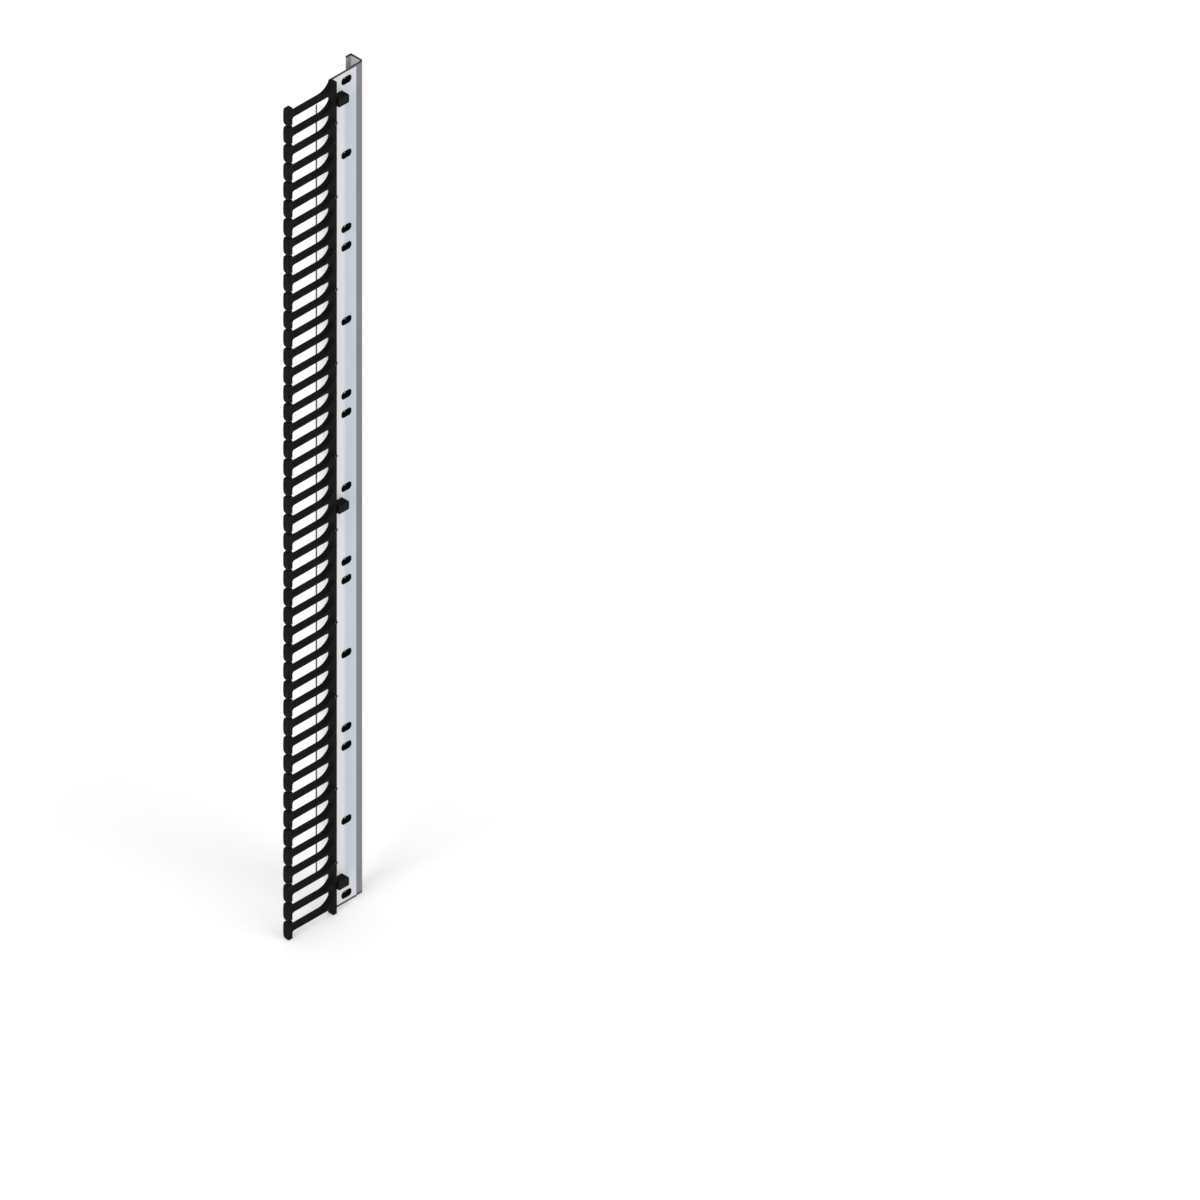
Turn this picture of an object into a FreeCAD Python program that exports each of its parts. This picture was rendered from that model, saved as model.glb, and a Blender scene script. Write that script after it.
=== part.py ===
import FreeCAD, Part
import math
import os

# Vertical cable manager with 45 cable fingers, one to each 44.45 mm of its height.
#
# Frame: millimetres, +Z up. The front faces of the mounting blocks lie at Y = 0 and look towards -Y.
# The origin is the mouth of the threaded insert in the middle mounting block.
# +X runs across the panel, from the tips of the fingers to the edge rail.

# Fingers and overall height
finger_pitch = 44.45
comb_fingers = 9
comb_count = 5

# Mounting panel: a folded sheet with one flange turned back along its left edge
panel_width = 78.6
panel_sheet = 1.5
panel_bend_radius = 1.0
panel_flange_depth = 34.7
flange_setback = 72.0
flange_corner_radius = 8.0

# Strap slots with cropped corners: three to a comb, in one column
slot_length = 25.0
slot_height = 15.0
slot_crop = 4.5
slot_column = 51.0
slots_per_comb = 3
slot_pitch_fingers = 4
slot_drop = 24.2

# Edge rail: a folded channel welded behind the right edge of the panel
rail_sheet = 1.5
rail_bend_radius = 1.0
rail_overlap = 12.6
rail_reveal = 19.4
rail_depth = 33.0
rail_lip = 15.0

# Finger combs: moulded bars with T-headed fingers
comb_depth = 15.0
comb_end_gap = 0.5
bar_width = 10.0
finger_thickness = 7.0
finger_reach = 125.0
head_length = 12.0
head_height = 42.0
head_land = 1.5
crown_depth = 3.6
crown_height = 21.0
neck_chamfer = 3.0
gusset_length = 29.0
gusset_radius = 34.0
root_chamfer = 6.0
core_depth = 9.0
core_height = 26.0
core_taper = 7.0
core_wall = 3.0

# Comb screws: two to a comb, driven through the bar into clinch nuts pressed into the panel
screws_per_comb = 2
screw_pitch_fingers = 4
comb_screw_drop = 97.6
comb_screw_column = 6.0
comb_screw_diameter = 4.0
comb_screw_tail = 1.5
comb_head_across_flats = 7.0
comb_head_height = 2.8
clinch_nut_across_flats = 7.0
clinch_nut_height = 3.2

# Mounting blocks: moulded stand-offs with a hexagonal threaded insert in the front face
block_width = 29.5
block_height = 20.0
block_depth = 18.6
block_gap = 1.0
block_corner_crop = 2.0
top_block_drop = 52.9
middle_block_pitches = 22
bottom_block_rise = 65.4
insert_across_flats = 8.0
insert_length = 10.0
insert_bore = 5.0
lug_width = 5.0
lug_height = 12.0
lug_offset = 9.0

# Block screws: one to a block, driven from behind the panel, beside the lug that stops it turning
block_screw_diameter = 4.0
block_screw_bite = 7.0
block_head_across_flats = 7.0
block_head_height = 2.8

# Clearances
shank_clearance = 0.15
thread_clearance = 0.05
insert_clearance = 0.02
lug_clearance = 0.2
hole_end_clearance = 0.8
cut_overrun = 1.0

# Worked out from the values above
comb_length = finger_pitch * comb_fingers
panel_height = comb_length * comb_count
middle_block_drop = top_block_drop + middle_block_pitches * finger_pitch
block_centre_column = bar_width + block_gap + block_width / 2
panel_left = -block_centre_column
panel_right = panel_left + panel_width
panel_front = block_depth
panel_back = panel_front + panel_sheet
panel_top = middle_block_drop
panel_bottom = panel_top - panel_height
flange_back = panel_front + panel_flange_depth
comb_front = panel_front - comb_depth
bar_right = panel_left + bar_width
finger_tip = panel_left - finger_reach
head_inner = finger_tip + head_length
clinch_nut_end = panel_back + clinch_nut_height
comb_screw_x = panel_left + comb_screw_column


def point(x, z):
    """A point of an upright outline, in the plane Y = 0."""
    return FreeCAD.Vector(x, 0, z)


def line(start, end):
    """A straight edge."""
    return Part.LineSegment(start, end).toShape()


def arc_about(centre, start, end):
    """The shorter arc about a centre, from one point to another."""
    radius = start.distanceToPoint(centre)
    towards = (start - centre) + (end - centre)
    middle = centre + towards.normalize() * radius
    return Part.Arc(start, middle, end).toShape()


def swept_back(edges, y_low, y_high):
    """The solid of a closed upright outline between two planes."""
    solid = Part.Face(Part.Wire(edges)).extrude(FreeCAD.Vector(0, y_high - y_low, 0))
    solid.translate(FreeCAD.Vector(0, y_low, 0))
    return solid


def upright_box(x_low, x_high, y_low, y_high, z_low, z_high):
    """A box between three pairs of planes."""
    corner = FreeCAD.Vector(x_low, y_low, z_low)
    return Part.makeBox(x_high - x_low, y_high - y_low, z_high - z_low, corner)


def rod(radius, x, z, y_low, y_high):
    """A cylinder along Y between two planes."""
    return Part.makeCylinder(radius, y_high - y_low, FreeCAD.Vector(x, y_low, z), FreeCAD.Vector(0, 1, 0))


def hexagon(across_flats, x, z, y_low, y_high):
    """A hexagonal prism along Y, with two of its flats upright."""
    radius = across_flats / math.sqrt(3)
    angles = [math.radians(30 + 60 * side) for side in range(7)]
    corners = [point(x + radius * math.cos(angle), z + radius * math.sin(angle)) for angle in angles]
    return swept_back([line(start, end) for start, end in zip(corners, corners[1:])], y_low, y_high)


def finger_drops():
    """How far the middle of each finger lies below the top of its comb's share of the panel."""
    return [(index + 0.5) * finger_pitch for index in range(comb_fingers)]


def comb_top(comb):
    """The top of a comb's share of the panel, where comb 0 is the highest."""
    return panel_top - comb * comb_length


def finger_heights(comb):
    """The heights of the middles of a comb's fingers."""
    return [comb_top(comb) - drop for drop in finger_drops()]


def comb_screw_heights(comb):
    """The heights of the screws of a comb."""
    first = comb_top(comb) - comb_screw_drop
    return [first - index * screw_pitch_fingers * finger_pitch for index in range(screws_per_comb)]


def slot_heights(comb):
    """The heights of the strap slots beside a comb."""
    first = comb_top(comb) - slot_drop
    return [first - index * slot_pitch_fingers * finger_pitch for index in range(slots_per_comb)]


def block_heights():
    """The heights of the three mounting blocks, by name."""
    return {
        "top": panel_top - top_block_drop,
        "middle": panel_top - middle_block_drop,
        "bottom": panel_bottom + bottom_block_rise,
    }


def rounded_run(points, radius):
    """The edges of an open run of lines whose right-angled corners are rounded."""
    edges = []
    start = points[0]
    for before, corner, after in zip(points, points[1:], points[2:]):
        back = (before - corner).normalize() * radius
        ahead = (after - corner).normalize() * radius
        edges.append(line(start, corner + back))
        edges.append(arc_about(corner + back + ahead, corner + back, corner + ahead))
        start = corner + ahead
    edges.append(line(start, points[-1]))
    return edges


def folded_sheet(corners, sheet, bend_radius, z_low, z_high):
    """A sheet folded by right angles along upright lines.

    The corners are (x, y) places on the outer skin. The sheet lies to the right of the way
    that they run, seen from above.
    """
    outer = [FreeCAD.Vector(x, y, z_low) for x, y in corners]
    steps = [(end - start).normalize() for start, end in zip(outer, outer[1:])]
    rights = [FreeCAD.Vector(step.y, -step.x, 0) for step in steps]
    inner = [outer[0] + rights[0] * sheet]
    for corner, before, after in zip(outer[1:], rights, rights[1:]):
        inner.append(corner + (before + after) * sheet)
    inner.append(outer[-1] + rights[-1] * sheet)

    skins = rounded_run(outer, bend_radius + sheet) + rounded_run(inner, bend_radius)
    ends = [line(outer[0], inner[0]), line(outer[-1], inner[-1])]
    wire = Part.Wire(Part.__sortEdges__(skins + ends))
    return Part.Face(wire).extrude(FreeCAD.Vector(0, 0, z_high - z_low))


def cropped_box(x, z, width, height, crop, y_low, y_high):
    """A box along Y about a place (x, z), with the corners of its outline cropped."""
    block = upright_box(x - width / 2, x + width / 2, y_low, y_high, z - height / 2, z + height / 2)
    corners = [edge for edge in block.Edges if abs(edge.BoundBox.YLength - (y_high - y_low)) < crop / 2]
    return block.makeChamfer(crop, corners)


def strap_slot(z):
    """The cutter of one strap slot."""
    front = panel_front - cut_overrun
    back = panel_back + cut_overrun
    return cropped_box(panel_left + slot_column, z, slot_length, slot_height, slot_crop, front, back)


def through_hole(radius, x, z, back):
    """The cutter of a round hole through the panel, and through what is pressed into it up to a plane."""
    return rod(radius, x, z, panel_front - cut_overrun, back + cut_overrun)


def lug(z, clearance):
    """The upright key on the back of a block, grown by a clearance where the panel is cut for it."""
    half_width = lug_width / 2 + clearance
    half_height = lug_height / 2 + clearance
    return upright_box(
        lug_offset - half_width,
        lug_offset + half_width,
        panel_front - clearance,
        panel_back + clearance,
        z - half_height,
        z + half_height,
    )


def make_mounting_panel():
    """The folded sheet that carries everything else."""
    corners = [(panel_right, panel_front), (panel_left, panel_front), (panel_left, flange_back)]
    panel = folded_sheet(corners, panel_sheet, panel_bend_radius, panel_bottom, panel_top)

    # The flange stops short of both ends of the panel.
    left = panel_left - cut_overrun
    bend_end = panel_left + panel_bend_radius + panel_sheet
    front = panel_front - cut_overrun
    back = flange_back + cut_overrun
    low_end = upright_box(left, bend_end, front, back, panel_bottom - cut_overrun, panel_bottom + flange_setback)
    high_end = upright_box(left, bend_end, front, back, panel_top - flange_setback, panel_top + cut_overrun)
    panel = panel.cut([low_end, high_end])
    free_corners = [
        edge
        for edge in panel.Edges
        if edge.BoundBox.YMin > flange_back - panel_sheet / 2 and edge.BoundBox.ZLength < panel_sheet / 2
    ]
    panel = panel.makeFillet(flange_corner_radius, free_corners)

    nuts = []
    cutters = []
    for comb in range(comb_count):
        for z in comb_screw_heights(comb):
            nuts.append(hexagon(clinch_nut_across_flats, comb_screw_x, z, panel_back, clinch_nut_end))
            cutters.append(through_hole(comb_screw_diameter / 2 + thread_clearance, comb_screw_x, z, clinch_nut_end))
        for z in slot_heights(comb):
            cutters.append(strap_slot(z))
    for z in block_heights().values():
        cutters.append(through_hole(block_screw_diameter / 2 + shank_clearance, 0, z, panel_back))
        cutters.append(lug(z, lug_clearance))
    return panel.fuse(nuts).cut(cutters)


def make_edge_rail():
    """The channel behind the right edge of the panel, open towards the left."""
    left = panel_right - rail_overlap
    right = panel_right + rail_reveal
    back = panel_back + rail_depth
    corners = [(right - rail_lip, back), (right, back), (right, panel_back), (left, panel_back)]
    return folded_sheet(corners, rail_sheet, rail_bend_radius, panel_bottom, panel_top)


def finger_edges(z):
    """The outline of one finger, from the bar above it, round its head, back to the bar below it."""
    top = z + finger_thickness / 2
    bottom = z - finger_thickness / 2
    head_top = z + head_height / 2
    head_bottom = z - head_height / 2
    neck = head_inner + neck_chamfer
    shoulder = head_inner - head_land
    crown_edge = finger_tip + crown_depth
    crown_top = point(crown_edge, z + crown_height / 2)
    crown_bottom = point(crown_edge, z - crown_height / 2)
    gusset_rise = gusset_radius - math.sqrt(gusset_radius**2 - gusset_length**2)
    gusset_end = point(panel_left - gusset_length, top)
    gusset_start = point(panel_left, top + gusset_rise)

    upper = [gusset_end, point(neck, top), point(head_inner, top + neck_chamfer)]
    upper += [point(head_inner, head_top), point(shoulder, head_top), crown_top]
    lower = [crown_bottom, point(shoulder, head_bottom), point(head_inner, head_bottom)]
    lower += [point(head_inner, bottom - neck_chamfer), point(neck, bottom)]
    lower += [point(panel_left - root_chamfer, bottom), point(panel_left, bottom - root_chamfer)]

    edges = [arc_about(point(gusset_end.x, top + gusset_radius), gusset_start, gusset_end)]
    edges.extend(line(start, end) for start, end in zip(upper, upper[1:]))
    edges.append(Part.Arc(crown_top, point(finger_tip, z), crown_bottom).toShape())
    edges.extend(line(start, end) for start, end in zip(lower, lower[1:]))
    return edges


def head_core(z):
    """The cutter of the moulder's pocket in the back of a finger's head."""
    outer = finger_tip + core_wall
    inner = head_inner - core_wall
    inner_reach = core_height / 2
    outer_reach = inner_reach - core_taper
    corners = [
        point(outer, z + outer_reach),
        point(outer, z - outer_reach),
        point(inner, z - inner_reach),
        point(inner, z + inner_reach),
        point(outer, z + outer_reach),
    ]
    edges = [line(start, end) for start, end in zip(corners, corners[1:])]
    return swept_back(edges, panel_front - core_depth, panel_front + cut_overrun)


def make_finger_comb(comb):
    """One moulded comb: an upright bar with its fingers on the left."""
    top = comb_top(comb) - comb_end_gap / 2
    bottom = comb_top(comb) - comb_length + comb_end_gap / 2
    edges = []
    last = point(panel_left, top)
    for z in finger_heights(comb):
        finger = finger_edges(z)
        edges.append(line(last, finger[0].Vertexes[0].Point))
        edges.extend(finger)
        last = finger[-1].Vertexes[-1].Point
    bar = [last, point(panel_left, bottom), point(bar_right, bottom), point(bar_right, top), point(panel_left, top)]
    edges.extend(line(start, end) for start, end in zip(bar, bar[1:]))
    body = swept_back(edges, comb_front, panel_front)

    hole = comb_screw_diameter / 2 + shank_clearance
    cutters = [
        rod(hole, comb_screw_x, z, comb_front - cut_overrun, panel_front + cut_overrun)
        for z in comb_screw_heights(comb)
    ]
    cutters.extend(head_core(z) for z in finger_heights(comb))
    return body.cut(cutters)


def make_comb_screws(comb):
    """The two screws of a comb, with their hexagonal heads at the front."""
    screws = []
    for z in comb_screw_heights(comb):
        head = hexagon(comb_head_across_flats, comb_screw_x, z, comb_front - comb_head_height, comb_front)
        shank = rod(comb_screw_diameter / 2, comb_screw_x, z, comb_front, clinch_nut_end + comb_screw_tail)
        screws.append(head.fuse(shank).removeSplitter())
    return Part.makeCompound(screws)


def make_mounting_block(z):
    """One stand-off block, with a pocket for its insert, a screw hole and a key at the back."""
    block = cropped_box(0, z, block_width, block_height, block_corner_crop, 0, block_depth)
    pocket_across_flats = insert_across_flats + 2 * insert_clearance
    hole = block_screw_diameter / 2 + thread_clearance
    hole_end = block_depth - block_screw_bite - hole_end_clearance
    return block.fuse(lug(z, 0)).cut(
        [
            hexagon(pocket_across_flats, 0, z, -cut_overrun, insert_length + insert_clearance),
            rod(hole, 0, z, hole_end, block_depth + cut_overrun),
        ]
    )


def make_block_insert(z):
    """The threaded insert of a block, flush with its front face."""
    return hexagon(insert_across_flats, 0, z, 0, insert_length).cut(
        rod(insert_bore / 2, 0, z, -cut_overrun, insert_length + cut_overrun)
    )


def make_block_screw(z):
    """The screw of a block, with its hexagonal head behind the panel."""
    head = hexagon(block_head_across_flats, 0, z, panel_back, panel_back + block_head_height)
    shank = rod(block_screw_diameter / 2, 0, z, block_depth - block_screw_bite, panel_back)
    return head.fuse(shank).removeSplitter()


def all_nodes():
    """Every piece of the cable manager, by name."""
    nodes = {
        "mounting_panel": make_mounting_panel(),
        "edge_rail": make_edge_rail(),
    }
    for comb in range(comb_count):
        number = comb + 1
        nodes[f"finger_comb_{number}"] = make_finger_comb(comb)
        nodes[f"comb_screws_{number}"] = make_comb_screws(comb)
    for name, z in block_heights().items():
        nodes[f"mounting_block_{name}"] = make_mounting_block(z)
        nodes[f"block_insert_{name}"] = make_block_insert(z)
        nodes[f"block_screw_{name}"] = make_block_screw(z)
    return nodes


os.makedirs("parts", exist_ok=True)
for node_name, shape in all_nodes().items():
    shape.exportStep(f"parts/{node_name}.step")
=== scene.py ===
"""Looks of the tall vertical cable manager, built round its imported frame.

Sizes inside the classes are in millimetres of the part's own frame: +Z up, -Y out of the front
faces of the mounting blocks, +X from the finger tips to the edge rail. Meshes are turned into
metres when they become pieces.
"""

import logging
import math
from dataclasses import dataclass, field
from enum import Enum

import bmesh
import bpy
from mathutils import Matrix, Vector
from mathutils.geometry import delaunay_2d_cdt


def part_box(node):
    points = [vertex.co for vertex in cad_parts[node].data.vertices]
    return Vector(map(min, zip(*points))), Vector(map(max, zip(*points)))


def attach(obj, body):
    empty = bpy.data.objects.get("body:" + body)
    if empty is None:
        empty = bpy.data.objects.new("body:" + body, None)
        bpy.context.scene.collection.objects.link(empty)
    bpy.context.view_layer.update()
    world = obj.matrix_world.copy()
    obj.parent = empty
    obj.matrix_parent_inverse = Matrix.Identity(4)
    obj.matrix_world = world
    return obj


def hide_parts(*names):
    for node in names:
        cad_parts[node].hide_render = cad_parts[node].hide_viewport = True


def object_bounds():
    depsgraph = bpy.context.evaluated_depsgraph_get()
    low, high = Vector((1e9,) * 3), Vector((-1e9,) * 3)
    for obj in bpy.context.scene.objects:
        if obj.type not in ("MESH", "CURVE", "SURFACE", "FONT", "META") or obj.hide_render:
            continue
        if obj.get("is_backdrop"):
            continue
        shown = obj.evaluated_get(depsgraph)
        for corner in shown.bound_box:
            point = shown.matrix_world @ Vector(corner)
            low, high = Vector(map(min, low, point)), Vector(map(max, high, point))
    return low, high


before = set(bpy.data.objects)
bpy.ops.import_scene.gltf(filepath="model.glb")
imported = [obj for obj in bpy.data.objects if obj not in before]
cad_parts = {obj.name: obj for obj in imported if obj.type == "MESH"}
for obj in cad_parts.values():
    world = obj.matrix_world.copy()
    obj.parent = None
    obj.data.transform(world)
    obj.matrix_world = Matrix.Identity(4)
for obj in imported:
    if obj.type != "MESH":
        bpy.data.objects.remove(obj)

MM = 0.001
BODY = "root"
# How wide a change of colour is in metres where a tone ends at a fold or an edge
SLIVER = 0.0002
# How many chords a drilled hole and a long arc of a finger have
HOLE_STEPS = 32
ARC_STEPS = 10
# The colour sockets of a mix node
MIX_FIRST, MIX_SECOND, MIX_RESULT = 6, 7, 2

Point2 = tuple[float, float]
Point3 = tuple[float, float, float]
Loop = list[Point2]
Corner = tuple[float, float, float]
Socket = bpy.types.NodeSocket
Material = bpy.types.Material
Pieces = list[bpy.types.Object]

log = logging.getLogger("cable_manager")


class Facing(Enum):
    """Which way the head or mouth of a turned part looks."""

    FRONT = -1.0
    BACK = 1.0


class Recess(Enum):
    """What is pressed into the end of a hexagonal head."""

    CROSS = "cross"
    DISH = "dish"


# Outlines


def arc_points(centre: Point2, radius: float, start: float, end: float, steps: int) -> Loop:
    """Points along an arc, both ends included.

    Args:
        centre: The middle of the arc.
        radius: Its radius.
        start: The angle of its first point, in radians.
        end: The angle of its last point, in radians.
        steps: How many chords it has.

    Returns:
        The points in order.
    """
    angles = [start + (end - start) * step / steps for step in range(steps + 1)]
    return [(centre[0] + radius * math.cos(a), centre[1] + radius * math.sin(a)) for a in angles]


def circle(centre: Point2, radius: float, steps: int) -> Loop:
    """A closed circle as a loop of points.

    Args:
        centre: The middle of the circle.
        radius: Its radius.
        steps: How many chords it has.

    Returns:
        The loop, anticlockwise.
    """
    return arc_points(centre, radius, 0.0, math.tau * (steps - 1) / steps, steps - 1)


def rounded(corners: list[Corner], steps: int) -> Loop:
    """A closed outline whose corners are rounded.

    Args:
        corners: The sharp corners in order, each with its rounding radius as the third number.
        steps: How many chords each rounding has.

    Returns:
        The loop, in the order of the corners.
    """
    loop: Loop = []
    count = len(corners)
    for index, (x, z, radius) in enumerate(corners):
        here = Vector((x, z))
        to_before = (Vector(corners[index - 1][:2]) - here).normalized()
        to_after = (Vector(corners[(index + 1) % count][:2]) - here).normalized()
        turn = math.pi - to_before.angle(to_after)
        if radius <= 0.0 or turn < 1e-3:
            loop.append((x, z))
            continue
        reach = radius * math.tan(turn / 2)
        start, end = here + to_before * reach, here + to_after * reach
        centre = here + (to_before + to_after).normalized() * (radius / math.cos(turn / 2))
        first, last = start - centre, end - centre
        for step in range(steps + 1):
            share = step / steps
            spoke = first * math.sin((1 - share) * turn) + last * math.sin(share * turn)
            place = centre + spoke / math.sin(turn)
            loop.append((place.x, place.y))
    return loop


def rounded_box(centre: Point2, size: Point2, radius: float, steps: int = 3) -> Loop:
    """A rectangle whose corners are rounded.

    Args:
        centre: Its middle.
        size: Its width and height.
        radius: The radius of its corners.
        steps: How many chords each corner has.

    Returns:
        The loop, anticlockwise.
    """
    (x, z), (width, height) = centre, size
    sides = [(-1, -1), (1, -1), (1, 1), (-1, 1)]
    return rounded([(x + i * width / 2, z + j * height / 2, radius) for i, j in sides], steps)


def area(loop: Loop) -> float:
    """The signed area of a loop, positive when it runs anticlockwise."""
    return sum(a[0] * b[1] - b[0] * a[1] for a, b in zip(loop, loop[1:] + loop[:1])) / 2


def wound(loop: Loop, anticlockwise: bool) -> Loop:
    """The loop, turned round if it runs the wrong way."""
    return loop if (area(loop) > 0) == anticlockwise else loop[::-1]


def inset(loop: Loop, distance: float) -> Loop:
    """Moves every side of a loop to its left.

    Args:
        loop: The loop, with the material on the left of its way round.
        distance: How far each side moves into the material.

    Returns:
        The moved loop, point for point.
    """
    moved: Loop = []
    count = len(loop)
    for index, (x, z) in enumerate(loop):
        before, after = loop[index - 1], loop[(index + 1) % count]
        moved.append(mitred((x, z), before, after, distance))
    return moved


def mitred(here: Point2, before: Point2, after: Point2, distance: float) -> Point2:
    """A corner moved so that both of its sides move to the left.

    Args:
        here: The corner.
        before: The point before it.
        after: The point after it.
        distance: How far each side moves.

    Returns:
        The moved corner.
    """
    arrive = (Vector(here) - Vector(before)).normalized()
    leave = (Vector(after) - Vector(here)).normalized()
    left_in, left_out = Vector((-arrive.y, arrive.x)), Vector((-leave.y, leave.x))
    shift = (left_in + left_out) / max(0.25, 1.0 + left_in.dot(left_out)) * distance
    return (here[0] + shift.x, here[1] + shift.y)


def encloses(loop: Loop, place: Point2) -> bool:
    """True if the place lies inside the loop.

    Args:
        loop: A closed loop.
        place: The point to test.

    Returns:
        Whether a ray from the place crosses the loop an odd number of times.
    """
    inside = False
    for (x1, z1), (x2, z2) in zip(loop, loop[1:] + loop[:1]):
        if (z1 > place[1]) != (z2 > place[1]) and place[0] < (x2 - x1) * (place[1] - z1) / (z2 - z1) + x1:
            inside = not inside
    return inside


@dataclass
class FlatMesh:
    """A triangulated flat region.

    Attributes:
        points: The corners of the triangles.
        triangles: Three numbers of points each, anticlockwise.
    """

    points: Loop
    triangles: list[tuple[int, int, int]]


def triangulated(outer: Loop, holes: list[Loop], lines: list[tuple[Point2, Point2]]) -> FlatMesh:
    """Fills an outline with triangles, leaves its holes open and keeps some lines as edges.

    Args:
        outer: The outline.
        holes: The loops that stay open.
        lines: Straight lines that triangles may touch and not cross.

    Returns:
        The filled region. Its first points are those of the loops, in order.
    """
    points: Loop = []
    edges: list[tuple[int, int]] = []
    for loop in [outer, *holes]:
        start = len(points)
        points.extend(loop)
        edges.extend((start + i, start + (i + 1) % len(loop)) for i in range(len(loop)))
    for line in lines:
        edges.append((len(points), len(points) + 1))
        points.extend(line)
    found = delaunay_2d_cdt([Vector(p) for p in points], edges, [], 1, 1e-6)
    places = [(p.x, p.y) for p in found[0]]
    boxes = [(min(x for x, _ in h), max(x for x, _ in h), min(z for _, z in h), max(z for _, z in h), h) for h in holes]
    kept: list[tuple[int, int, int]] = []
    for a, b, c in found[2]:
        middle = tuple(sum(places[i][axis] for i in (a, b, c)) / 3 for axis in (0, 1))
        open_here = any(
            low_x < middle[0] < high_x and low_z < middle[1] < high_z and encloses(hole, middle)
            for low_x, high_x, low_z, high_z, hole in boxes
        )
        if not open_here:
            kept.append((a, b, c))
    return FlatMesh(places, kept)


# Meshes and pieces


@dataclass
class MeshDraft:
    """Vertices and faces in millimetres, gathered before they become one piece.

    Attributes:
        vertices: The places of the vertices.
        faces: The numbers of each face's vertices.
    """

    vertices: list[Point3] = field(default_factory=list)
    faces: list[tuple[int, ...]] = field(default_factory=list)

    def ring(self, places: list[Point3]) -> list[int]:
        """Adds vertices.

        Args:
            places: Where they are.

        Returns:
            Their numbers.
        """
        start = len(self.vertices)
        self.vertices.extend(places)
        return list(range(start, len(self.vertices)))

    def bridge(self, first: list[int], second: list[int]) -> None:
        """Joins two closed rings of equal count with quads.

        Args:
            first: The numbers of the one ring's vertices.
            second: The numbers of the other's.
        """
        count = len(first)
        for i in range(count):
            j = (i + 1) % count
            self.faces.append((first[i], first[j], second[j], second[i]))

    def fan(self, ring: list[int], centre: Point3) -> None:
        """Closes a ring with triangles that meet at a centre.

        Args:
            ring: The numbers of its vertices.
            centre: Where the triangles meet.
        """
        (middle,) = self.ring([centre])
        for i, vertex in enumerate(ring):
            self.faces.append((vertex, ring[(i + 1) % len(ring)], middle))

    def rings(self, levels: list[list[Point3]]) -> list[list[int]]:
        """Adds closed rings and joins each to the next.

        Args:
            levels: The rings, each with as many places as the others.

        Returns:
            The numbers of each ring's vertices.
        """
        numbers = [self.ring(level) for level in levels]
        for first, second in zip(numbers, numbers[1:]):
            self.bridge(first, second)
        return numbers

    def piece(self, name: str, material: Material, sharp_from: float = 32.0) -> bpy.types.Object:
        """Turns the draft into an object that rides on the part.

        Args:
            name: The piece's name.
            material: Its finish.
            sharp_from: The angle in degrees from which an edge is shaded sharp.

        Returns:
            The object.
        """
        mesh = bpy.data.meshes.new(name)
        mesh.from_pydata([(x * MM, y * MM, z * MM) for x, y, z in self.vertices], [], self.faces)
        work = bmesh.new()
        work.from_mesh(mesh)
        bmesh.ops.remove_doubles(work, verts=work.verts, dist=1e-7)
        bmesh.ops.recalc_face_normals(work, faces=work.faces)
        work.to_mesh(mesh)
        work.free()
        mesh.shade_smooth()
        mesh.set_sharp_from_angle(angle=math.radians(sharp_from))
        mesh.materials.append(material)
        made = bpy.data.objects.new(name, mesh)
        bpy.context.scene.collection.objects.link(made)
        weighted = made.modifiers.new("even_faces", "WEIGHTED_NORMAL")
        weighted.keep_sharp = True
        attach(made, BODY)
        return made


# Finishes


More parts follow.
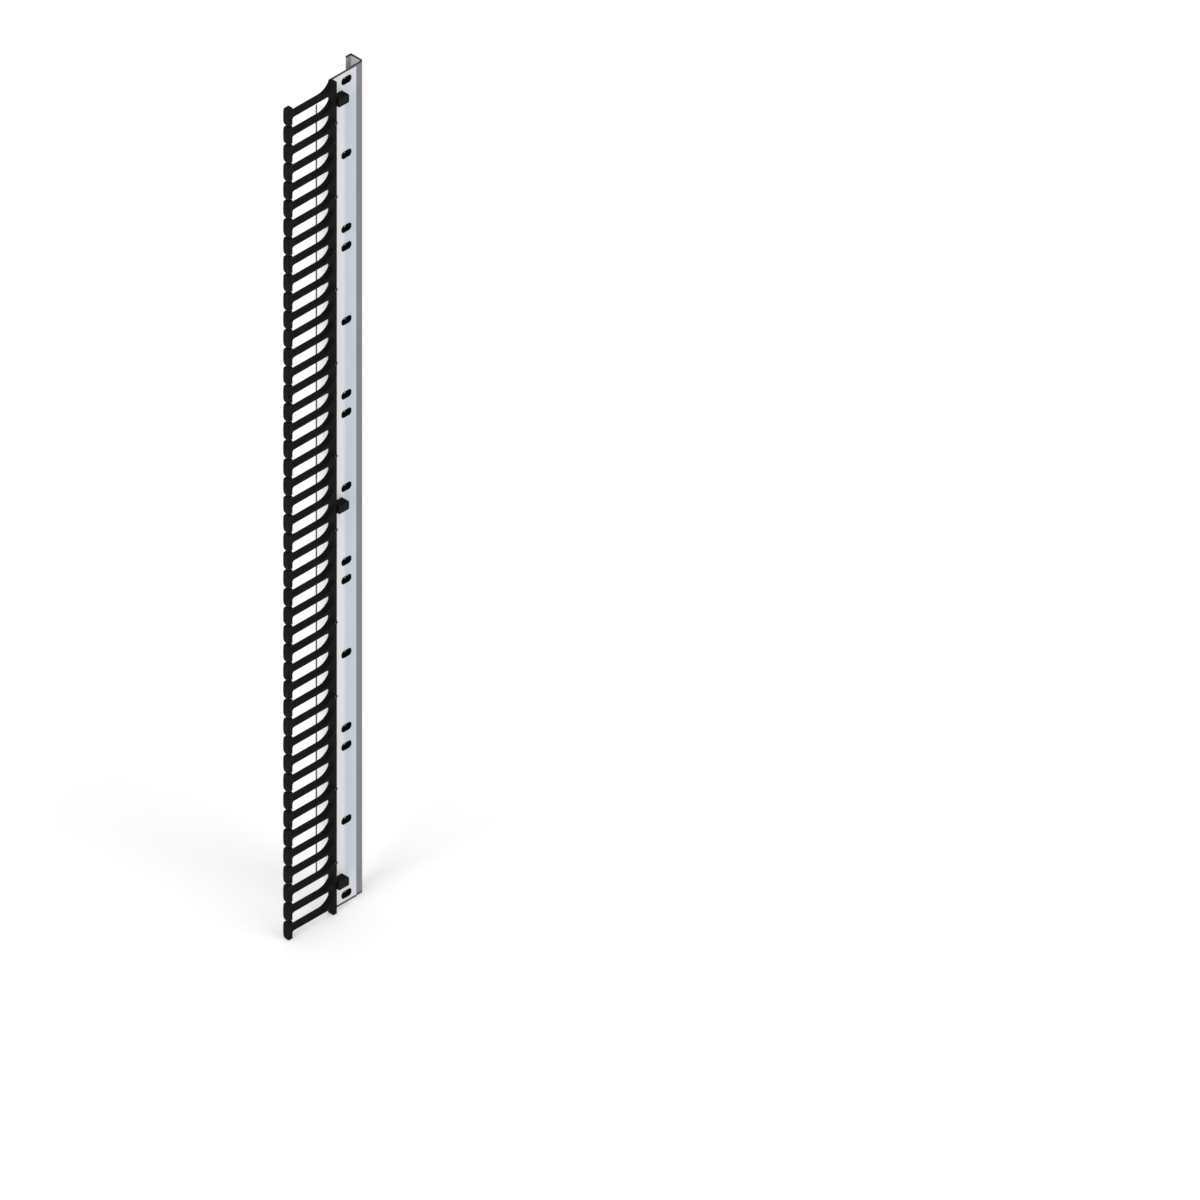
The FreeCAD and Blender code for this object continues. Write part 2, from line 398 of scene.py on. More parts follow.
@dataclass
class NodeGraph:
    """A material's nodes, with short ways to add and join them.

    Attributes:
        material: The material that holds them.
    """

    material: Material

    @classmethod
    def new(cls, name: str) -> "NodeGraph":
        """A graph for a new material.

        Args:
            name: The material's name.

        Returns:
            The graph, with its shader and output in place.
        """
        material = bpy.data.materials.new(name)
        material.use_nodes = True
        return cls(material)

    @property
    def shader(self) -> bpy.types.Node:
        """The material's principled shader."""
        return self.material.node_tree.nodes["Principled BSDF"]

    def add(self, kind: str, **settings: object) -> bpy.types.Node:
        """Adds a node.

        Args:
            kind: Its type.
            settings: Its properties.

        Returns:
            The node.
        """
        node = self.material.node_tree.nodes.new(kind)
        for key, value in settings.items():
            setattr(node, key, value)
        return node

    def join(self, source: Socket, target: Socket) -> None:
        """Links two sockets."""
        self.material.node_tree.links.new(source, target)

    def place(self) -> Socket:
        """The place on the part, in metres."""
        return self.add("ShaderNodeTexCoord").outputs["Object"]

    def noise(self, scale: float, detail: float, stretch: Point3 = (1.0, 1.0, 1.0)) -> Socket:
        """A noise over the part.

        Args:
            scale: Cells per metre.
            detail: How many finer layers it has.
            stretch: How much each axis is squeezed before the noise is taken.

        Returns:
            The noise's value, from 0 to 1.
        """
        mapping = self.add("ShaderNodeMapping")
        mapping.inputs["Scale"].default_value = stretch
        self.join(self.place(), mapping.inputs["Vector"])
        noise = self.add("ShaderNodeTexNoise")
        noise.inputs["Scale"].default_value = scale
        noise.inputs["Detail"].default_value = detail
        self.join(mapping.outputs["Vector"], noise.inputs["Vector"])
        return noise.outputs["Fac"]

    def ranged(self, value: Socket, source: Point2, target: Point2) -> Socket:
        """A value carried from one range to another.

        Args:
            value: The value.
            source: Its range.
            target: The new range.

        Returns:
            The new value.
        """
        node = self.add("ShaderNodeMapRange", interpolation_type="SMOOTHSTEP")
        for key, number in zip(("From Min", "From Max", "To Min", "To Max"), (*source, *target)):
            node.inputs[key].default_value = number
        self.join(value, node.inputs["Value"])
        return node.outputs["Result"]

    def mixed(self, share: Socket, first: Point3 | Socket, second: Point3) -> Socket:
        """A colour that gives way to a plain one.

        Args:
            share: How much of the second there is.
            first: The colour at 0, plain or from other nodes.
            second: The plain colour at 1.

        Returns:
            The colour.
        """
        node = self.add("ShaderNodeMix", data_type="RGBA")
        self.join(share, node.inputs["Factor"])
        if isinstance(first, tuple):
            node.inputs[MIX_FIRST].default_value = (*first, 1.0)
        else:
            self.join(first, node.inputs[MIX_FIRST])
        node.inputs[MIX_SECOND].default_value = (*second, 1.0)
        return node.outputs[MIX_RESULT]

    def combined(self, how: str, first: Socket, *others: Socket) -> Socket:
        """Several values made into one.

        Args:
            how: The operation that takes in each value in turn.
            first: The first value.
            others: The values after it.

        Returns:
            The result.
        """
        result = first
        for value in others:
            node = self.add("ShaderNodeMath", operation=how)
            self.join(result, node.inputs[0])
            self.join(value, node.inputs[1])
            result = node.outputs[0]
        return result

    def bump(self, height: Socket, depth: float, strength: float) -> None:
        """Presses a height into the surface.

        Args:
            height: The height, from 0 to 1.
            depth: How deep 1 is, in metres.
            strength: How much of it shows.
        """
        node = self.add("ShaderNodeBump")
        node.inputs["Distance"].default_value = depth
        node.inputs["Strength"].default_value = strength
        self.join(height, node.inputs["Height"])
        self.join(node.outputs["Normal"], self.shader.inputs["Normal"])


def shaded(colour: Point3, share: float) -> Point3:
    """A colour made lighter or darker by a share."""
    return (colour[0] * share, colour[1] * share, colour[2] * share)


@dataclass(frozen=True)
class SatinSheetCoat:
    """The smooth satin coat of a folded sheet, with painted light in some of its tones and a near-black band along its
    two ends and free edge.

    Attributes:
        name: The material's name.
        near: The colour beside the combs, a painted highlight paler than the coat's own colour.
        far: The coat's own colour, towards the edge rail.
        fade: Where along X the first colour starts to give way and where it is gone, in metres.
        ends: The Z of the sheet's lower and upper ends, in metres.
        free_edge: The Y of its free upright edge, in metres.
        side: A painted highlight on the folded side beside the combs, paler than the front as if more light fell on
            that side.
        side_face: Where along X that colour ends and where it is gone, in metres.
        inside: A paler colour painted on the faces inside a channel, painted light.
        inside_right: The X up to which it reaches, in metres.
        inside_depth: The Y between which it lies, in metres.
        edge: The near-black colour of the band along the two ends and the free edge.
        edge_width: How wide that band is, in metres.
        edge_core: The share of that width over which it is darkest.
        end_highlight_reach: How far the painted highlight of the first colour reaches in from the two ends, in metres.
        end_core: The share of that length over which it is palest.
        end_share: How much of the far colour is left there.
        roughness: How matt the coat is.
    """

    name: str
    near: Point3
    far: Point3
    fade: Point2
    ends: Point2
    free_edge: float
    edge: Point3
    side: Point3 = (0.81, 0.815, 0.83)
    side_face: Point2 = (-0.02565, -0.0252)
    inside: Point3 = (0.36, 0.36, 0.365)
    inside_right: float = -1.0
    inside_depth: Point2 = (0.0, 0.0)
    edge_width: float = 0.0054
    edge_core: float = 0.65
    end_highlight_reach: float = 0.09
    end_core: float = 0.4
    end_share: float = 0.45
    roughness: float = 0.38

    def build(self) -> Material:
        """Makes the material.

        Returns:
            The material.
        """
        graph = NodeGraph.new(self.name)
        split = graph.add("ShaderNodeSeparateXYZ")
        graph.join(graph.place(), split.inputs["Vector"])
        x, y, z = (split.outputs[axis] for axis in "XYZ")
        low, high = self.ends
        highlight_reach, palest = self.end_highlight_reach, self.end_highlight_reach * self.end_core
        # Painted highlight: the paler first colour beside the combs gives way to the coat's own colour along X, and
        # comes back near the two ends
        across = graph.ranged(x, self.fade, (0.0, 1.0))
        in_low = graph.ranged(z, (low + palest, low + highlight_reach), (self.end_share, 1.0))
        in_high = graph.ranged(z, (high - highlight_reach, high - palest), (1.0, self.end_share))
        tone = graph.mixed(graph.combined("MULTIPLY", across, in_low, in_high), self.near, self.far)
        # Painted light: the folded side beside the combs is made paler than the front, as if lit more strongly
        tone = graph.mixed(graph.ranged(x, self.side_face, (1.0, 0.0)), tone, self.side)
        # Painted light: the faces inside a channel are made paler than the coat
        start, end = self.inside_depth
        leftwards = graph.ranged(x, (self.inside_right - SLIVER, self.inside_right), (1.0, 0.0))
        behind = graph.ranged(y, (start, start + SLIVER), (0.0, 1.0))
        before = graph.ranged(y, (end - SLIVER, end), (1.0, 0.0))
        tone = graph.mixed(graph.combined("MULTIPLY", leftwards, behind, before), tone, self.inside)
        # A near-black band along the two ends and the free edge of the sheet
        width, core = self.edge_width, self.edge_width * self.edge_core
        near_low = graph.ranged(z, (low + core, low + width), (1.0, 0.0))
        near_high = graph.ranged(z, (high - width, high - core), (0.0, 1.0))
        near_free = graph.ranged(y, (self.free_edge - width, self.free_edge - core), (0.0, 1.0))
        tone = graph.mixed(graph.combined("MAXIMUM", near_free, near_low, near_high), tone, self.edge)
        mottle = graph.ranged(graph.noise(18.0, 3.0, (1.0, 1.0, 0.25)), (0.3, 0.7), (0.965, 1.03))
        product = graph.add("ShaderNodeVectorMath", operation="SCALE")
        graph.join(tone, product.inputs[0])
        graph.join(mottle, product.inputs["Scale"])
        graph.join(product.outputs["Vector"], graph.shader.inputs["Base Color"])
        rough = graph.ranged(graph.noise(160.0, 2.0), (0.3, 0.7), (self.roughness - 0.04, self.roughness + 0.05))
        graph.join(rough, graph.shader.inputs["Roughness"])
        graph.shader.inputs["Specular IOR Level"].default_value = 0.45
        graph.bump(graph.noise(900.0, 2.0), 0.00004, 0.35)
        return graph.material


@dataclass(frozen=True)
class MouldedNylon:
    """Black moulded nylon with the fine spark-eroded grain of its mould.

    Attributes:
        name: The material's name.
        colour: The body colour.
        roughness: How matt it is.
        grain: Grains per metre.
        sheen: How strongly it shines.
    """

    name: str
    colour: Point3
    roughness: float = 0.52
    grain: float = 1500.0
    sheen: float = 0.12

    def build(self) -> Material:
        """Makes the material.

        Returns:
            The material.
        """
        graph = NodeGraph.new(self.name)
        cloud = graph.ranged(graph.noise(40.0, 3.0), (0.3, 0.7), (0.0, 1.0))
        graph.join(
            graph.mixed(cloud, shaded(self.colour, 0.8), shaded(self.colour, 1.3)), graph.shader.inputs["Base Color"]
        )
        rough = graph.ranged(graph.noise(220.0, 2.0), (0.3, 0.7), (self.roughness - 0.06, self.roughness + 0.08))
        graph.join(rough, graph.shader.inputs["Roughness"])
        graph.shader.inputs["Specular IOR Level"].default_value = self.sheen
        graph.bump(graph.noise(self.grain, 3.0), 0.00006, 0.5)
        return graph.material


@dataclass(frozen=True)
class MetalFinish:
    """Bare, plated or blackened metal, brushed a little along its axis.

    Attributes:
        name: The material's name.
        colour: The metal's colour.
        metallic: 1 for bare or plated metal, less under a dark oxide.
        roughness: How matt it is.
    """

    name: str
    colour: Point3
    metallic: float
    roughness: float

    def build(self) -> Material:
        """Makes the material.

        Returns:
            The material.
        """
        graph = NodeGraph.new(self.name)
        stain = graph.ranged(graph.noise(260.0, 3.0), (0.3, 0.7), (0.0, 1.0))
        graph.join(
            graph.mixed(stain, shaded(self.colour, 0.86), shaded(self.colour, 1.06)), graph.shader.inputs["Base Color"]
        )
        rough = graph.ranged(graph.noise(700.0, 2.0), (0.3, 0.7), (self.roughness - 0.05, self.roughness + 0.07))
        graph.join(rough, graph.shader.inputs["Roughness"])
        graph.shader.inputs["Metallic"].default_value = self.metallic
        graph.bump(graph.noise(1400.0, 2.0, (1.0, 0.15, 1.0)), 0.00002, 0.4)
        return graph.material


# Forms that several pieces share


@dataclass
class MouldedPlate:
    """A plate of even depth with softened edges, through holes and pockets in its back.

    Attributes:
        outer: The outline.
        front: The Y of the front face.
        back: The Y of the back face.
        through: The loops of holes that go right through.
        pockets: The loops of blind pockets in the back, each with its depth.
        front_pockets: The loops of blind pockets in the front, each with its depth.
        softening: The radius of the softened edges.
        soft_steps: How many chords a softened edge has.
        wall_rings: How far behind the front face the outer wall has further rings.
    """

    outer: Loop
    front: float
    back: float
    through: list[Loop] = field(default_factory=list)
    pockets: list[tuple[Loop, float]] = field(default_factory=list)
    front_pockets: list[tuple[Loop, float]] = field(default_factory=list)
    softening: float = 0.5
    soft_steps: int = 3
    wall_rings: list[float] = field(default_factory=list)

    def draft(self, draft: MeshDraft) -> MeshDraft:
        """Adds the plate to a draft.

        Args:
            draft: The draft.

        Returns:
            The same draft.
        """
        outer = wound(self.outer, True)
        through = [wound(loop, False) for loop in self.through]
        front_holes = [(wound(loop, False), depth) for loop, depth in self.front_pockets]
        back_holes = [(wound(loop, False), depth) for loop, depth in self.pockets]
        front_rings: list[list[int]] = []
        back_rings: list[list[int]] = []
        for loop in [outer, *through]:
            levels = self.soft_levels(loop, self.front, 1.0)
            levels += [[(x, self.front + depth, z) for x, z in loop] for depth in self.wall_rings if loop is outer]
            numbers = draft.rings(levels + self.soft_levels(loop, self.back, -1.0)[::-1])
            front_rings.append(numbers[0])
            back_rings.append(numbers[-1])
        for holes, face, way, rings in (
            (front_holes, self.front, 1.0, front_rings),
            (back_holes, self.back, -1.0, back_rings),
        ):
            for loop, depth in holes:
                levels = self.soft_levels(loop, face, way)
                levels.append([(x, face + way * depth, z) for x, z in loop])
                numbers = draft.rings(levels)
                rings.append(numbers[0])
                self.close(draft, [loop], [numbers[-1]])
        for holes, rings in ((front_holes, front_rings), (back_holes, back_rings)):
            loops = [outer, *through, *(loop for loop, _ in holes)]
            self.close(draft, [inset(loop, self.softening) for loop in loops], rings)
        return draft

    def soft_levels(self, loop: Loop, face: float, way: float) -> list[list[Point3]]:
        """The rings of one softened edge.

        Args:
            loop: The loop of the wall.
            face: The Y of the face that the wall meets.
            way: 1.0 where the wall runs towards +Y from that face, and -1.0 towards -Y.

        Returns:
            The rings, from the face to the straight wall.
        """
        levels: list[list[Point3]] = []
        for step in range(self.soft_steps + 1):
            turn = math.pi / 2 * step / self.soft_steps
            moved = inset(loop, self.softening * (1 - math.sin(turn)))
            y = face + way * self.softening * (1 - math.cos(turn))
            levels.append([(x, y, z) for x, z in moved])
        return levels

    @staticmethod
    def close(draft: MeshDraft, loops: list[Loop], rings: list[list[int]]) -> None:
        """Fills the space between rings with a flat face.

        Args:
            draft: The draft that holds the rings.
            loops: The outline and then its holes.
            rings: The numbers of the same loops' vertices.
        """
        numbers = [number for ring in rings for number in ring]
        flat = triangulated(loops[0], loops[1:], [])
        for triangle in flat.triangles:
            draft.faces.append(tuple(numbers[corner] for corner in triangle))


@dataclass
class FoldedSheet:
    """A sheet folded by right angles along upright lines, from its flat pattern.

    Attributes:
        corners: The (x, y) corners of its outer skin. The sheet lies to the right of their way.
        thickness: The sheet's thickness.
        bend_radius: The inner radius of the bends.
        bend_steps: How many chords a bend has.
        softening: How far the cut edges are softened.
    """

    corners: list[Point2]
    thickness: float = 1.5
    bend_radius: float = 1.0
    bend_steps: int = 6
    softening: float = 0.2

    @property
    def outer_radius(self) -> float:
        """The outer radius of the bends."""
        return self.bend_radius + self.thickness

    @property
    def bend_length(self) -> float:
        """The length of a bend in the flat pattern."""
        return (self.outer_radius - self.thickness / 2) * math.pi / 2

    def flats(self) -> list[Point2]:
        """Where each flat stretch starts and ends along the flat pattern.

        Returns:
            A (start, end) for each stretch between bends.
        """
        found: list[Point2] = []
        start = 0.0
        last = len(self.corners) - 2
        for index, (here, there) in enumerate(zip(self.corners, self.corners[1:])):
            length = math.dist(here, there)
            length -= self.outer_radius * ((index > 0) + (index < last))
            found.append((start, start + length))
            start += length + self.bend_length
        return found

    def folded(self, along: float, z: float, depth: float) -> Point3:
        """Where a place of the flat pattern lies on the folded sheet.

        Args:
            along: Its place along the pattern.
            z: Its height.
            depth: How far it lies under the outer skin.

        Returns:
            The place in the part's frame.
        """
        flats = self.flats()
        for index, (start, end) in enumerate(flats):
            here, there = Vector(self.corners[index]), Vector(self.corners[index + 1])
            heading = (there - here).normalized()
            right = Vector((heading.y, -heading.x))
            origin = here + heading * (self.outer_radius if index else 0.0)
            if along <= end + 1e-6 or index == len(flats) - 1:
                place = origin + heading * (along - start) + right * depth
                return (place.x, place.y, z)
            if along < flats[index + 1][0] - 1e-6:
                turn = (along - end) / self.bend_length * math.pi / 2
                centre = origin + heading * (end - start) + right * self.outer_radius
                spoke = heading * math.sin(turn) - right * math.cos(turn)
                place = centre + spoke * (self.outer_radius - depth)
                return (place.x, place.y, z)
        raise ValueError("a place lies outside the flat pattern")

    def bend_lines(self, z_low: float, z_high: float) -> list[tuple[Point2, Point2]]:
        """The lines that the flat pattern is folded along.

        Args:
            z_low: The lower end of the lines.
            z_high: Their upper end.

        Returns:
            The lines, as many to each bend as it has chords, and one more.
        """
        lines: list[tuple[Point2, Point2]] = []
        for _, end in self.flats()[:-1]:
            for step in range(self.bend_steps + 1):
                along = end + self.bend_length * step / self.bend_steps
                lines.append(((along, z_low), (along, z_high)))
        return lines

    def draft(self, outer: Loop, holes: list[Loop], lines: list[tuple[Point2, Point2]]) -> MeshDraft:
        """Cuts the flat pattern, folds it and gives it its thickness.

        Args:
            outer: The outline of the flat pattern.
            holes: Its cut-outs.
            lines: The lines that it is folded along.

        Returns:
            The draft of the folded sheet.
        """
        flat = triangulated(wound(outer, True), [wound(hole, False) for hole in holes], lines)
        after: dict[int, int] = {}
        sides = {(a, b) for t in flat.triangles for a, b in ((t[0], t[1]), (t[1], t[2]), (t[2], t[0]))}
        for a, b in sides:
            if (b, a) not in sides:
                after[a] = b
        before = {b: a for a, b in after.items()}
        softened = list(flat.points)
        for here, there in after.items():
            softened[here] = mitred(flat.points[here], flat.points[before[here]], flat.points[there], self.softening)

        draft = MeshDraft()
        used = sorted({corner for triangle in flat.triangles for corner in triangle})
        skin = dict(zip(used, draft.ring([self.folded(*softened[i], 0.0) for i in used])))
        back = dict(zip(used, draft.ring([self.folded(*softened[i], self.thickness) for i in used])))
        rim = sorted(after)
        high = dict(zip(rim, draft.ring([self.folded(*flat.points[i], self.softening) for i in rim])))
        deep = self.thickness - self.softening
        low = dict(zip(rim, draft.ring([self.folded(*flat.points[i], deep) for i in rim])))
        for a, b, c in flat.triangles:
            draft.faces.append((skin[a], skin[b], skin[c]))
            draft.faces.append((back[c], back[b], back[a]))
        for here, there in after.items():
            for first, second in ((skin, high), (high, low), (low, back)):
                draft.faces.append((first[here], first[there], second[there], second[here]))
        return draft


@dataclass
class TurnedPart:
    """A part made of rings about an axis along Y.

    Attributes:
        x: The X of the axis.
        z: The Z of the axis.
        facing: Which way its heights run.
        base: The Y that its heights start from.
        steps: How many sides a ring has, a multiple of 12.
    """

    x: float
    z: float
    facing: Facing
    base: float
    steps: int = 48

    def place(self, radius: float, angle: float, height: float) -> Point3:
        """A place round the axis."""
        y = self.base + self.facing.value * height
        return (self.x + radius * math.cos(angle), y, self.z + radius * math.sin(angle))

    def angles(self) -> list[float]:
        """The angles of a ring's corners."""
        return [math.tau * step / self.steps for step in range(self.steps)]

    def round_ring(self, radius: float, height: float) -> list[Point3]:
        """A round ring at a height."""
        return [self.place(radius, angle, height) for angle in self.angles()]

    def hex_radius(self, across_flats: float, angle: float) -> float:
        """How far a hexagon with two upright flats reaches at an angle."""
        local = (angle + math.pi / 6) % (math.pi / 3) - math.pi / 6
        return across_flats / 2 / math.cos(local)

    def hex_ring(self, across_flats: float, height: float) -> list[Point3]:
        """A hexagonal ring at a height."""
        return [self.place(self.hex_radius(across_flats, angle), angle, height) for angle in self.angles()]

    def chamfered_hex_ring(self, across_flats: float, height: float, slope: float) -> list[Point3]:
        """The upper rim of a hexagon that a cone has cut.

        Args:
            across_flats: The hexagon's size.
            height: The height of its end face.
            slope: The tangent of the cone's slope.

        Returns:
            The ring, which dips at the corners.
        """
        ring: list[Point3] = []
        for angle in self.angles():
            radius = self.hex_radius(across_flats, angle)
            dip = (radius - across_flats / 2 * 0.97) * slope
            ring.append(self.place(radius, angle, height - dip))
        return ring

    def helix_rings(self, radius: float, ridge: float, pitch: float, start: float, end: float) -> list[list[Point3]]:
        """The rings of a screw thread.

        Args:
            radius: The radius at the crests.
            ridge: How deep the thread is, negative for one inside a bore.
            pitch: Its pitch.
            start: The height it starts at.
            end: The height it ends at.

        Returns:
            The rings, four to a pitch.
        """
        count = max(2, round((end - start) / pitch * 4))
        rings: list[list[Point3]] = []
        for index in range(count + 1):
            height = start + (end - start) * index / count
            ring: list[Point3] = []
            for angle in self.angles():
                phase = (height / pitch - angle / math.tau) % 1.0
                ring.append(self.place(radius - ridge * abs(2 * phase - 1), angle, height))
            rings.append(ring)
        return rings


@dataclass
class HexScrew(TurnedPart):
    """A hexagon-headed machine screw, from its head to its pointed-off tail.

    Attributes:
        across_flats: The size of its head.
        head_height: The height of its head.
        shank_radius: The outer radius of its thread.
        length: Its length under the head.
        recess: What is pressed into its head.
        pitch: The pitch of its thread.
        ridge: The depth of its thread.
    """

    across_flats: float = 7.0
    head_height: float = 2.8
    shank_radius: float = 2.0
    length: float = 21.0
    recess: Recess = Recess.DISH
    pitch: float = 0.7
    ridge: float = 0.35

    def draft(self, draft: MeshDraft) -> None:
        """Adds the screw to a draft.

        Args:
            draft: The draft.
        """
        washer = 0.25
        top = self.head_height
        rim = self.across_flats / 2 * 0.93
        head = [
            self.round_ring(self.shank_radius, 0.0),
            self.round_ring(self.across_flats / 2 * 0.94, 0.0),
            self.round_ring(self.across_flats / 2 * 0.94, washer),
            self.hex_ring(self.across_flats, washer),
            self.chamfered_hex_ring(self.across_flats, top, math.tan(math.radians(30))),
            self.round_ring(rim, top),
        ]
        numbers = draft.rings(head)
        if self.recess is Recess.DISH:
            walls = [self.round_ring(rim * 0.78, top), self.round_ring(rim * 0.62, top - 0.45)]
            floor = top - 0.5
        else:
            walls = [self.cross_ring(1.0, top), self.cross_ring(0.94, top - 0.2), self.cross_ring(0.6, top - 1.5)]
            floor = top - 1.7
        pressed = draft.rings(walls)
        draft.bridge(numbers[-1], pressed[0])
        draft.fan(pressed[-1], self.place(0.0, 0.0, floor))
        thread = self.helix_rings(self.shank_radius, self.ridge, self.pitch, -self.length + 0.4, -0.6)[::-1]
        shank = [self.round_ring(self.shank_radius, 0.0), self.round_ring(self.shank_radius, -0.5), *thread]
        shank.append(self.round_ring(self.shank_radius - self.ridge * 1.3, -self.length))
        numbers = draft.rings(shank)
        draft.fan(numbers[-1], self.place(0.0, 0.0, -self.length))

    def cross_ring(self, share: float, height: float) -> list[Point3]:
        """The outline of a cross recess.

        Args:
            share: Its size next to its size at the surface.
            height: Its height.

        Returns:
            The ring.
        """
        reach, wing = 2.1 * share, 0.42 * share
        ring: list[Point3] = []
        for angle in self.angles():
            local = (angle + math.pi / 4) % (math.pi / 2) - math.pi / 4
            radius = min(reach, wing / max(1e-6, abs(math.sin(local))))
            ring.append(self.place(max(radius, wing * math.sqrt(2)), angle, height))
        return ring


@dataclass
class HexBush(TurnedPart):
    """A hexagonal piece with a threaded bore: a clinch nut or a block's insert.

    Attributes:
        across_flats: Its size.
        length: Its length.
        bore_radius: The radius at the crests of its thread.
        ridge: The depth of its thread.
        pitch: The pitch of its thread.
        chamfer: The slope of its end chamfer, 0 for a flush end.
    """

    across_flats: float = 7.0
    length: float = 3.2
    bore_radius: float = 2.05
    ridge: float = 0.3
    pitch: float = 0.7
    chamfer: float = 0.577

    def draft(self, draft: MeshDraft) -> None:
        """Adds the piece to a draft.

        Args:
            draft: The draft.
        """
        mouth = self.bore_radius + self.ridge + 0.15
        end = self.length
        rim = self.across_flats / 2 * 0.95
        outside = [
            self.round_ring(mouth, 0.0),
            self.round_ring(rim, 0.0),
            self.hex_ring(self.across_flats, 0.0 if self.chamfer else 0.15),
            self.chamfered_hex_ring(self.across_flats, end, self.chamfer) if self.chamfer
            else self.hex_ring(self.across_flats, end - 0.15),
            self.round_ring(rim, end),
            self.round_ring(mouth, end),
        ]
        thread = self.helix_rings(self.bore_radius, -self.ridge, self.pitch, 0.4, end - 0.4)[::-1]
        loop = [*outside, *thread, self.round_ring(mouth, 0.0)]
        draft.rings(loop)


# The cable manager's own pieces


def frame_box(node: str) -> tuple[Vector, Vector]:
    """The lowest and highest corners of a node, in millimetres."""
    low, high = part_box(node)
    return low / MM, high / MM


@dataclass
class CombSizes:
    """The sizes that shape a finger comb.

    Attributes:
        units: How many fingers it has.
        end_gap: The gap between two combs.
        bar_width: The width of its bar.
        thickness: The thickness of a finger.
        head_length: The length of a finger's head.
        head_height: The height of a finger's head.
        head_round: The radius at the front and the back of the head's ends, seen along the finger.
        head_flat: How far from its middle the head keeps its full depth.
        crown_depth: How far the head's outer face is crowned.
        head_corner: The radius of the head's corners beside the finger.
        shoulder_round: The radius of its corners beside the crown.
        neck_chamfer: The chamfer where the finger meets its head.
        neck_round: The radius at both ends of that chamfer.
        gusset_length: The length of the gusset on the root.
        gusset_radius: Its radius.
        root_chamfer: The chamfer under the root.
        root_round: The radius at both ends of that chamfer.
        core_depth: The depth of the head's core pocket.
        core_height: The pocket's height beside the finger.
        core_taper: How much lower each end of the pocket is beside the crown.
        core_wall: The wall beside the pocket.
        screw_drop: How far the first screw lies below the top of the comb's share of the panel.
        screw_fingers: How many fingers the second screw lies below the first.
        screw_column: How far the screws stand from the bar's left side.
        screw_hole: The radius of the screw holes.
    """

    units: int = 9
    end_gap: float = 0.5
    bar_width: float = 10.0
    thickness: float = 7.0
    head_length: float = 12.0
    head_height: float = 42.0
    head_round: Point2 = (1.5, 6.5)
    head_flat: float = 12.0
    crown_depth: float = 1.2
    head_corner: float = 0.8
    shoulder_round: float = 1.5
    neck_chamfer: float = 3.0
    neck_round: float = 2.5
    gusset_length: float = 29.0
    gusset_radius: float = 34.0
    root_chamfer: float = 6.0
    root_round: float = 4.0
    core_depth: float = 9.0
    core_height: float = 26.0
    core_taper: float = 7.0
    core_wall: float = 3.0
    screw_drop: float = 97.6
    screw_fingers: int = 4
    screw_column: float = 6.0
    screw_hole: float = 2.15


